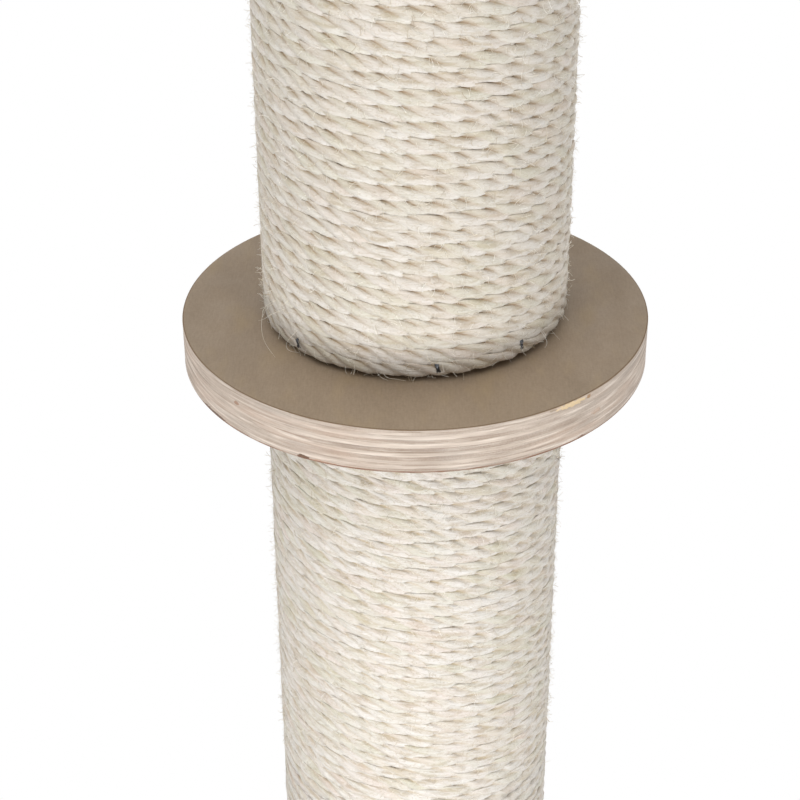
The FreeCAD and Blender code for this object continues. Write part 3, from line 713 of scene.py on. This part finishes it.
def fuzzTree():
    tree, given, end = newGrower("ropeFuzz", ["Density", *fuzzShape], ["Seed"])
    kinds = addNode(tree, "GeometryNodeJoinGeometry")
    ring = geo(tree, "CurvePrimitiveCircle", {"Resolution": 3, "Radius": hairShape["radius"]})
    for middle, tip in hairBends:
        bend = {"Resolution": 3, "Start": (0, 0, hairShape["root"]), "Middle": middle, "End": tip}
        line = geo(tree, "CurveQuadraticBezier", bend)
        hair = line.then("CurveToMesh", {"Profile Curve": ring, "Fill Caps": True}).then("SetShadeSmooth")
        feed(tree, kinds.inputs[0], hair.then("GeometryToInstance"))
    outward = geo(tree, "InputPosition").stretched(1, 1, 0).vector("NORMALIZE")
    facing = geo(tree, "InputNormal").vector("DOT_PRODUCT", outward)
    scatter = addNode(tree, "GeometryNodeDistributePointsOnFaces", {
        "Mesh": given["Geometry"], "Selection": facing.calc("GREATER_THAN", 0.3), "Density": given["Density"],
        "Seed": given["Seed"]})

    def chance(step, high=1):
        values = {2: 0, 3: high, "Seed": given["Seed"] + step}
        return run(tree, "FunctionNodeRandomValue", values, 1, data_type="FLOAT")

    spin = joinXyz(tree, 0, 0, chance(1, fullTurn))
    lean = hairShape["flattest"] - chance(2).calc("POWER", 2) * hairShape["lift"]  # most hairs lie close
    turned = Wire(tree, scatter.outputs["Rotation"])
    for turn in (spin, joinXyz(tree, lean, 0, 0)):
        values = {"Rotation": turned, "Rotate By": turn}
        turned = run(tree, "FunctionNodeRotateRotation", values, rotation_space="LOCAL")
    size = given["Shortest"] + (given["Longest"] - given["Shortest"]) * chance(3).calc("POWER", 2)
    values = {4: 0, 5: len(hairBends) - 1, "Seed": given["Seed"]}
    hairs = Wire(tree, scatter.outputs["Points"]).then("InstanceOnPoints", {
        "Instance": Wire(tree, kinds.outputs[0]),
        "Pick Instance": True,
        "Instance Index": run(tree, "FunctionNodeRandomValue", values, 2, data_type="INT"),
        "Rotation": turned,
        "Scale": joinXyz(tree, size, size, size),
    })
    return finishGrower(given, end, hairs.store("hairShade", chance(4), domain="INSTANCE"))


hairTree = fuzzTree()
for number, (rope, density) in enumerate(ropePieces):
    values = {**fuzzShape, "Density": density, "Seed": fuzzSeed + number, "Material": looseSisal}
    fuzz = growPiece(f"{rope.name}_fuzz", hairTree, values, rope.data)
    settle(fuzz, "post", "sisal_rope")
    print(fuzz.name, len(fuzz.data.polygons))


# Long fibres that have worked loose at the foot of the middle winding

fibreShape = {"Thickness": 0.26 * mm, "Step": 0.8 * mm, "Taper": -0.7}
looseFibres = [  # points of each fibre, mm
    [(-65, -40, 900), (-74.6, -30, 889.5), (-76.9, -30, 882.6), (-76.8, -35, 877.4), (-74.2, -45, 876),
     (-69, -55, 874.4)],
    [(-63, -43, 895.5), (-70.1, -50, 896), (-74.1, -50, 893.2), (-77.1, -50, 892.1)],
    [(-56, -49.5, 889), (-62.5, -58, 885), (-62, -60, 881.5), (-56.9, -60.5, 880.2)],
    [(-33, -66, 880), (-34, -70, 876.5), (-33.2, -71.5, 874.6)],
    [(-18, -72, 880), (-14, -77.2, 876.5), (-9, -78.6, 876), (-4.5, -79.2, 875.4)],
    [(-20, -71, 880), (-17.5, -76.2, 876.6), (-13, -78.5, 875)],
    [(6, -73, 880), (6.4, -76.8, 876.4), (7.8, -77.6, 876.8)],
    [(7.4, -73, 879), (8.4, -77.2, 876), (10, -77.8, 876.6)],
    [(66, -32, 881), (69, -34.5, 877), (72.3, -38.6, 875)],
    [(62, -45, 884), (65, -49, 880), (64, -52, 878)],
]


def fibreTree():
    tree, given, end = newGrower("looseFibres", fibreShape)
    line = given["Geometry"].then("MeshToCurve").then("CurveSplineType", spline_type="CATMULL_ROM")
    line = line.then("ResampleCurve", {"Length": given["Step"]}, mode="LENGTH")
    ring = geo(tree, "CurvePrimitiveCircle", {"Resolution": 5, "Radius": given["Thickness"] / 2})
    taper = geo(tree, "SplineParameter") * given["Taper"] + 1
    hair = line.then("CurveToMesh", {"Profile Curve": ring, "Scale": taper, "Fill Caps": True})
    return finishGrower(given, end, hair.then("SetShadeSmooth"))


def makeLooseFibres():
    paths = bpy.data.meshes.new("fibrePaths")
    points, edges = [], []
    for fibre in looseFibres:
        edges += [(len(points) + step, len(points) + step + 1) for step in range(len(fibre) - 1)]
        points += [Vector(point) * mm for point in fibre]
    paths.from_pydata(points, edges, [])
    piece = growPiece("loose_fibres", fibreTree(), {**fibreShape, "Material": looseSisal}, paths)
    settle(piece, "post", "sisal_rope")


makeLooseFibres()
print("loose fibres:", len(looseFibres))


# Staples over the end turns

stapleShape = {"Crown": 4.8 * mm, "Width": 2.1 * mm, "Wire": 0.7 * mm, "Leg": 5 * mm}
stapleReach = 77.9 * mm  # from the axis to the middle of the wire
stapleSpots = [  # bearing and tilt in degrees, and mm from the middle of the end turn towards the next one
    (-48, 14, 1.4), (8, 13, 1.2), (42, 5, 3), (96, -4, 1.6), (145, 9, 0.9), (198, -6, 1.8), (255, 8, 1.2),
]


def stapleTree():
    tree, given, end = newGrower("staples", stapleShape)
    index = geo(tree, "InputIndex")
    inner = (index - 1.5).calc("ABSOLUTE").calc("GREATER_THAN", 1)
    upper = index.calc("GREATER_THAN", 1.5) - 0.5
    place = joinXyz(tree, inner * given["Leg"] * -1, 0, upper * given["Crown"])
    line = pointLine(tree, 4).then("SetPosition", {"Position": place})
    values = {"Radius": given["Wire"], "Count": 3, "Limit Radius": True}
    line = line.then("FilletCurve", values, mode="POLY").then("SetCurveNormal", mode="Z_UP")
    section = geo(tree, "CurvePrimitiveQuadrilateral", {"Width": given["Width"], "Height": given["Wire"]})
    values = {"Radius": given["Wire"] * 0.3, "Count": 2, "Limit Radius": True}
    section = section.then("FilletCurve", values, mode="POLY")
    staple = line.then("CurveToMesh", {"Profile Curve": section, "Fill Caps": True})
    values = {"Instance": staple, "Rotation": named(tree, "stapleTurn", "FLOAT_VECTOR")}
    return finishGrower(given, end, given["Geometry"].then("InstanceOnPoints", values))


def endTurnHeights(section, angle):  # middle of the lowest and of the highest turn at an angle round the post
    start, turns, pitch = windingSize(section)
    part = (angle - ropeShape["Start Angle"]) % fullTurn / fullTurn
    rise = max((part - ropeShape["Level Part"]) / (1 - ropeShape["Level Part"]), 0)
    rise = rise * rise * (3 - 2 * rise)

    def height(turn, fromEnd):
        steady = fromEnd / ropeShape["Level Turns"]
        return start + pitch * (turn + steady * part + (1 - steady) * rise)

    highest = height(turns - 1, 0) if part < ropeSizes["lastPart"] else height(turns - 2, 1)
    return height(0, ropeShape["Foot Turns"]), highest


def polarPoint(angle, radius, height=0):
    return radius * math.cos(angle), radius * math.sin(angle), height


def makeStaples():
    bm = bmesh.new()
    turnLayer = bm.verts.layers.float_vector.new("stapleTurn")
    for section in ropeWindings:
        for bearing, tilt, inset in stapleSpots:
            angle = math.radians(bearing) - math.pi / 2
            low, high = endTurnHeights(section, angle)
            for height in (low + inset * mm, high - inset * mm):
                spot = bm.verts.new(polarPoint(angle, stapleReach, height))
                spot[turnLayer] = (math.radians(tilt), 0, angle)
    spots = bpy.data.meshes.new("stapleSpots")
    bm.to_mesh(spots)
    bm.free()
    staples = growPiece("rope_staples", stapleTree(), {**stapleShape, "Material": stapleSteel}, spots)
    settle(staples, "post", "staple_wire", "staples")


makeStaples()
print("staples set:", 2 * len(stapleSpots) * len(ropeWindings))


# Boards of film-faced plywood

boardShape = {"segments": 480, "holeSegments": 48, "edge": 0.7 * mm, "relief": 0.12 * mm}
boards = {  # holes in mm: distance from the axis, number, radius, and a sink's radius, depth and end
    "base_plate": [(0, 1, 5.5, 12, 9, "bottom"), (38.2, 4, 2.4, 4.65, 3.7, "bottom")],
    "collar_disc": [(0, 1, 5.5)],
    "lower_perch": [(0, 1, 5.5)],
    "upper_perch": [(0, 1, 5.5)],
    "top_disc": [(0, 1, 14.45), (39.3, 4, 2.4, 4.65, 3.7, "top")],
    "ceiling_plate": [],
}


def addRing(bm, radius, height, count, x=0, y=0):
    ring = []
    for step in range(count):
        aside, ahead, _ = polarPoint(fullTurn * step / count, radius)
        ring.append(bm.verts.new((x + aside, y + ahead, height)))
    return ring


def bridge(bm, rings, closed=False, material=0, smooth=True):  # faces from each ring of points to the next
    for first, second in zip(rings, rings[1:] + rings[:1] if closed else rings[1:]):
        for step in range(len(first)):
            following = (step + 1) % len(first)
            face = bm.faces.new((first[step], first[following], second[following], second[step]))
            face.material_index = material
            face.smooth = smooth


def fillBetween(bm, rings):  # flat face with holes
    edges = []
    for ring in rings:
        for step, corner in enumerate(ring):
            ends = (corner, ring[step - 1])
            edges.append(bm.edges.get(ends) or bm.edges.new(ends))
    bmesh.ops.triangle_fill(bm, use_beauty=True, use_dissolve=False, edges=edges)


def rimOutline(thick):  # from the top face to the bottom: inset from the edge and depth below the top
    edge = boardShape["edge"]
    outline = [(edge, 0), (edge * 0.3, edge * 0.3), (0, edge)]
    reached = 0
    for thickness, tone in plyLayers:
        relief = boardShape["relief"] * (0.6 - 0.4 * tone)  # dark layers are worn deeper
        for share in (0.2, 0.8):
            depth = (reached + thickness * share) / plyTotal * thick
            if edge * 1.2 < depth < thick - edge * 1.2:
                outline.append((relief, depth))
        reached += thickness
    return outline + [(0, thick - edge), (edge * 0.3, thick - edge * 0.3), (edge, thick)]


def makeBoard(node, holes, body, rimMaterial):
    low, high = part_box(node)
    centre = (low + high) / 2
    thick = high.z - low.z
    bm = bmesh.new()
    depthLayer = bm.verts.layers.float.new("plyDepth")
    facingLayer = bm.verts.layers.float.new("rimFacing")
    rings = []
    for inset, depth in rimOutline(thick):
        radius = (high.x - low.x) / 2 - inset
        ring = addRing(bm, radius, high.z - depth, boardShape["segments"], centre.x, centre.y)
        for corner in ring:
            corner[depthLayer] = depth / thick
            aside, ahead = corner.co.x - centre.x, corner.co.y - centre.y
            corner[facingLayer] = (ahead ** 2 - aside ** 2) / (ahead ** 2 + aside ** 2)
        rings.append(ring)
    bridge(bm, rings, material=1)
    tops, bottoms = [rings[0]], [rings[-1]]
    for distance, number, hole, *sink in holes:
        walls = [(hole, high.z), (hole, low.z)]
        if sink:
            wide, deep, end = sink
            upper, lower = (hole, wide) if end == "bottom" else (wide, hole)
            step = low.z + deep * mm if end == "bottom" else high.z - deep * mm
            walls = [(upper, high.z), (upper, step), (lower, step), (lower, low.z)]
        for turn in range(number):
            x, y, _ = polarPoint(fullTurn * turn / number, distance * mm)
            wall = [addRing(bm, size * mm, level, boardShape["holeSegments"], x, y) for size, level in walls]
            bridge(bm, wall, material=1, smooth=False)
            tops.append(wall[0])
            bottoms.append(wall[-1])
    fillBetween(bm, tops)
    fillBetween(bm, bottoms)
    name = f"{node}_board"
    fit(name, finishMesh(name, bm, [filmFace, rimMaterial]), body, "film_plywood", node)


for node, holes in boards.items():
    body = "jack" if node == "ceiling_plate" else "post"
    makeBoard(node, holes, body, collarRim if node == "collar_disc" else plyRim)
print("boards cut:", len(boards))


# Turned and repeated fittings

creaseAngle = math.radians(32)


def fittingMesh(name, bm, *materials):
    mesh = finishMesh(name, bm, materials)
    mesh.set_sharp_from_angle(angle=creaseAngle)
    return mesh


def turnedMesh(name, outline, *materials, bored=True, count=64):  # spins (radius, height) points
    bm = bmesh.new()
    rings = [addRing(bm, radius, height, count) for radius, height in outline]
    bridge(bm, rings, closed=bored)
    if not bored:
        bm.faces.new(rings[0])
        bm.faces.new(rings[-1])
    return fittingMesh(name, bm, *materials)


def chamfered(radius, low, high, lowEdge, highEdge):  # a bore goes from its top down, with edges below zero
    return [(radius - lowEdge, low), (radius, low + lowEdge),
            (radius, high - highEdge), (radius - highEdge, high)]


def ringTree():
    tree, given, end = newGrower("ringOf", ["Radius", "Height", "Flip"], ["Count"])
    angle = geo(tree, "InputIndex") / given["Count"] * fullTurn
    place = angle.polar(given["Radius"], given["Height"])
    points = geo(tree, "Points", {"Count": given["Count"], "Position": place})
    turned = joinXyz(tree, given["Flip"], 0, angle * 1.7)  # so that no two crosses point the same way
    ring = points.then("InstanceOnPoints", {"Instance": given["Geometry"], "Rotation": turned})
    return finishGrower(given, end, ring)


screwShape = {
    "head": 4.5 * mm, "headTall": 3.2 * mm, "edge": 0.4 * mm, "shank": 2.25 * mm, "tip": 5 * mm,
    "crossReach": 2.5 * mm, "crossHalf": 0.5 * mm, "crossDepth": 1.7 * mm, "crossTaper": 0.6,
}


def screwMesh(length):  # head at the bottom, its face with the cross recess at height 0
    shape = screwShape
    tall, edge, shank = shape["headTall"], shape["edge"], shape["shank"]
    bm = bmesh.new()
    outline = chamfered(shape["head"], 0, tall, edge, edge)
    outline += [(shank, tall), (shank, length - shape["tip"]), (shank * 0.1, length)]
    rings = [addRing(bm, radius, height, 24) for radius, height in outline]
    bridge(bm, rings)
    bm.faces.new(rings[-1])
    far, near = shape["crossReach"], shape["crossHalf"]
    corners = []
    for quarter in range(4):
        turn = Matrix.Rotation(quarter * math.pi / 2, 2)
        corners += [turn @ Vector(corner) for corner in ((far, -near), (far, near), (near, near))]
    mouth = [bm.verts.new((corner.x, corner.y, 0)) for corner in corners]
    deep = [bm.verts.new((*(corner * shape["crossTaper"]), shape["crossDepth"])) for corner in corners]
    fillBetween(bm, [rings[0], mouth])
    bridge(bm, [mouth, deep])
    bm.faces.new(deep)
    return fittingMesh("screw", bm)


nutShape = {"apothem": 18.3 * mm, "edge": 0.6 * mm, "face": 0.97 * 18.3 * mm, "slope": math.radians(30)}


def hexNutMesh(low, high, bore):
    edge, face, count = nutShape["edge"], nutShape["face"], 96
    bm = bmesh.new()
    columns = []
    for step in range(count):
        angle = fullTurn * step / count
        lean = (angle + math.pi / 6) % (math.pi / 3) - math.pi / 6  # two flats face along X
        side = nutShape["apothem"] / math.cos(lean)
        drop = (side - face) * math.tan(nutShape["slope"])
        outline = [(face, low), (side, low + drop), (side, high - drop), (face, high)]
        outline += chamfered(bore, high, low, -edge, -edge)
        columns.append([bm.verts.new(polarPoint(angle, radius, height)) for radius, height in outline])
    bridge(bm, columns, closed=True)
    return fittingMesh("hexNut", bm, zincSteel)


threadShape = {"Radius": 10 * mm, "Pitch": 4 * mm, "Depth": 1.9 * mm, "Chamfer": 2 * mm}


def threadTree():
    tree, given, end = newGrower("screwThread", ["Low", "High", *threadShape], ["Rows", "Around"])
    low, high, radius = given["Low"], given["High"], given["Radius"]
    values = {"Size X": 1, "Size Y": 1, "Vertices X": given["Around"], "Vertices Y": given["Rows"]}
    across, along, _ = geo(tree, "InputPosition").parts()
    share = across + 0.5
    last = given["Rows"] - 1
    row = ((along + 0.5) * last).calc("ROUND")
    height = low + (row - 1).spread(0, last - 2) * (high - low)
    wave = (height / given["Pitch"] - share).calc("FRACT")
    ridge = ((wave - 0.5).calc("ABSOLUTE") * 2).spread(0.15, 0.85)
    reach = (radius - ridge * given["Depth"]).calc("MINIMUM", radius - given["Chamfer"] + (height - low))
    inside = row.calc("GREATER_THAN", 0.5) * row.calc("LESS_THAN", last - 0.5)  # the end rows close the rod
    place = (share * fullTurn).polar(reach * inside, height)
    rod = geo(tree, "MeshGrid", values).then("SetPosition", {"Position": place})
    return finishGrower(given, end, rod.then("MergeByDistance", {"Distance": 1e-6}))


weldShape = {"radius": 10.4 * mm, "below": 0.6 * mm, "thick": 2 * mm, "ripples": 36, "rippleDepth": 0.12}


def weldMesh(height):  # rippled bead in the corner under the flange
    steps, points = weldShape["ripples"] * 5, 8
    bm = bmesh.new()
    loops = []
    for step in range(steps):
        angle = fullTurn * step / steps
        swell = weldShape["thick"] * (1 + weldShape["rippleDepth"] * math.sin(weldShape["ripples"] * angle))
        loop = []
        for point in range(points):
            out, up, _ = polarPoint(fullTurn * point / points, swell)
            loop.append(bm.verts.new(polarPoint(angle, weldShape["radius"] + out, height + up)))
        loops.append(loop)
    bridge(bm, loops, closed=True)
    return fittingMesh("weldBead", bm, zincSteel)


rings = ringTree()
padShape = {"distance": 265 * mm, "radius": 22.5 * mm, "edge": 1 * mm, "glueEdge": 0.4 * mm}
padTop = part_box("floor_pads")[1].z
outline = chamfered(padShape["radius"], 0, padTop, padShape["edge"], padShape["glueEdge"])
values = {"Count": 6, "Radius": padShape["distance"], "Height": 0.0, "Flip": 0.0, "Material": padRubber}
pads = growPiece("floor_pads_round", rings, values, turnedMesh("pad", outline, bored=False, count=48))
settle(pads, "post", "pad_rubber", "floor_pads")

screwRings = {  # distance from the axis, body, and whether the heads look up
    "base_screws": (38.2 * mm, "post", False),
    "top_disc_screws": (39.3 * mm, "post", True),
    "ceiling_screws": (25 * mm, "jack", False),
}
for node, (distance, body, headUp) in screwRings.items():
    low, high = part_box(node)
    height, flip = (high.z, math.pi) if headUp else (low.z, 0.0)
    values = {"Count": 4, "Radius": distance, "Height": height, "Flip": flip, "Material": zincSteel}
    screws = growPiece(f"{node}_cross", rings, values, screwMesh(high.z - low.z))
    settle(screws, body, "zinc_steel", node)

jackShape = {"bore": 10.3 * mm, "washer": 19.8 * mm, "barrel": 14.3 * mm, "collar": 30.3 * mm, "edge": 0.4 * mm}
bore, washer, barrel, collar, edge = jackShape.values()
low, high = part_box("thrust_washer")
outline = chamfered(washer, low.z, high.z, edge, edge) + chamfered(bore, high.z, low.z, -edge, -edge)
fit("thrust_washer_turned", turnedMesh("washer", outline, zincSteel), "post", "zinc_steel", "thrust_washer")

low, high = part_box("guide_sleeve")
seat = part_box("top_disc")[1].z
outline = [(barrel - edge, low.z), (barrel, low.z + edge), (barrel, seat)]
outline += chamfered(collar, seat, high.z, edge, edge) + chamfered(bore, high.z, low.z, -edge, -edge)
fit("guide_sleeve_turned", turnedMesh("sleeve", outline, zincSteel), "post", "zinc_steel", "guide_sleeve")

low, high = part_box("adjusting_nut")
fit("adjusting_nut_hex", hexNutMesh(low.z, high.z, bore), "nut", "zinc_steel", "adjusting_nut")

low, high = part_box("spindle")
values = {**threadShape, "Low": low.z, "High": high.z, "Rows": 446, "Around": 41, "Material": zincSteel}
settle(growPiece("spindle_thread", threadTree(), values), "jack", "zinc_steel", "spindle")
fit("flange_weld", weldMesh(high.z - weldShape["below"]), "jack", "zinc_steel")

low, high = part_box("ceiling_pad")
outline = chamfered(high.x, low.z, high.z, padShape["glueEdge"], padShape["edge"])
pad = turnedMesh("ceilingPad", outline, padRubber, bored=False, count=128)
fit("ceiling_pad_round", pad, "jack", "pad_rubber", "ceiling_pad")

# Carried-over nodes get their surface here
for name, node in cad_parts.items():
    material = zincSteel
    if name.endswith("_core_tube"):
        material = tubeCard
    elif name.endswith("_plug"):
        material = plugPly
    for place in node.material_slots:
        place.material = material
print("fittings made")


# Camera, lights and floor

viewpoint = {
    "place": (0, -0.8773, 1.3544),
    "tilt": math.radians(58.46),
    "lens": 86.9,
    "shiftRight": -0.0191,
}


def addCamera():
    camera = bpy.data.cameras.new("camera")
    camera.lens = viewpoint["lens"]
    camera.shift_x = viewpoint["shiftRight"]
    camera.clip_start = 0.01
    camera.clip_end = 50
    holder = newObject("camera", camera)
    holder.location = viewpoint["place"]
    holder.rotation_euler = (viewpoint["tilt"], 0, 0)
    scene.camera = holder


def addSoftbox(name, place, aim, width, tall, power):
    lamp = bpy.data.lights.new(name, "AREA")
    lamp.shape = "RECTANGLE"
    lamp.size = width
    lamp.size_y = tall
    lamp.energy = power
    holder = newObject(name, lamp)
    holder.location = place
    holder.rotation_euler = (Vector(aim) - Vector(place)).to_track_quat("-Z", "Y").to_euler()


def addSurround(level):  # white to the eye and in reflections, dimmer as a light
    world = bpy.data.worlds.new("surround")
    scene.world = world
    world.use_nodes = True
    tree = world.node_tree
    rays = addNode(tree, "ShaderNodeLightPath")
    seen = Wire(tree, rays.outputs["Is Camera Ray"])
    for kind in ("Is Glossy Ray", "Is Transmission Ray"):
        seen = seen.calc("MAXIMUM", Wire(tree, rays.outputs[kind]))
    feed(tree, tree.nodes["Background"].inputs["Strength"], seen.spread(0, 1, level, 1))
    tree.nodes["Background"].inputs["Color"].default_value = (1, 1, 1, 1)


def addFloor(radius, solidRadius):  # paper that fades out towards its rim
    bm = bmesh.new()
    bmesh.ops.create_circle(bm, cap_ends=True, segments=96, radius=radius)
    material, space = newMaterial("floorPaper", specular=0.1)
    coat(material, (0.86, 0.86, 0.86, 1), 0.9)
    tree = space.tree
    x, y, _ = space.parts()
    fade = (x * x + y * y).calc("SQRT").spread(solidRadius, radius * 0.98, smooth=True)
    paper = Wire(tree, tree.nodes["Principled BSDF"].outputs[0])
    clear = run(tree, "ShaderNodeBsdfTransparent")
    faded = run(tree, "ShaderNodeMixShader", {"Fac": fade, 1: paper, 2: clear})
    feed(tree, tree.nodes["Material Output"].inputs["Surface"], faded)
    floor = newObject("floor", finishMesh("floor", bm, [material]))


addCamera()
addSurround(0.32)
addSoftbox("leftSoftbox", (-1.3, 0.75, 1.95), (0, 0, 0.87), 1.2, 1, 4)
addSoftbox("rightSoftbox", (1.3, 0.75, 1.95), (0, 0, 0.87), 1.2, 1, 4.2)
addSoftbox("highSoftbox", (-0.1, -0.9, 2.5), (0, -0.1, 0.87), 1.8, 1.4, 20)
addSoftbox("backSoftbox", (0, 2, 0.35), (0, 0, 0.9), 1.6, 0.6, 36)
addSoftbox("lowSoftbox", (-0.1, -1.8, 0.2), (0, 0, 0.3), 1.4, 0.6, 14)
addSoftbox("lowLeftSoftbox", (-1.25, -1.3, 0.3), (0, 0, 0.6), 0.8, 0.6, 15)
addSoftbox("lowRightSoftbox", (1.25, -1.3, 0.3), (0, 0, 0.6), 0.8, 0.6, 14.6)
addFloor(0.56, 0.34)
scene.view_settings.view_transform = "Standard"
print("camera, lights and floor set")
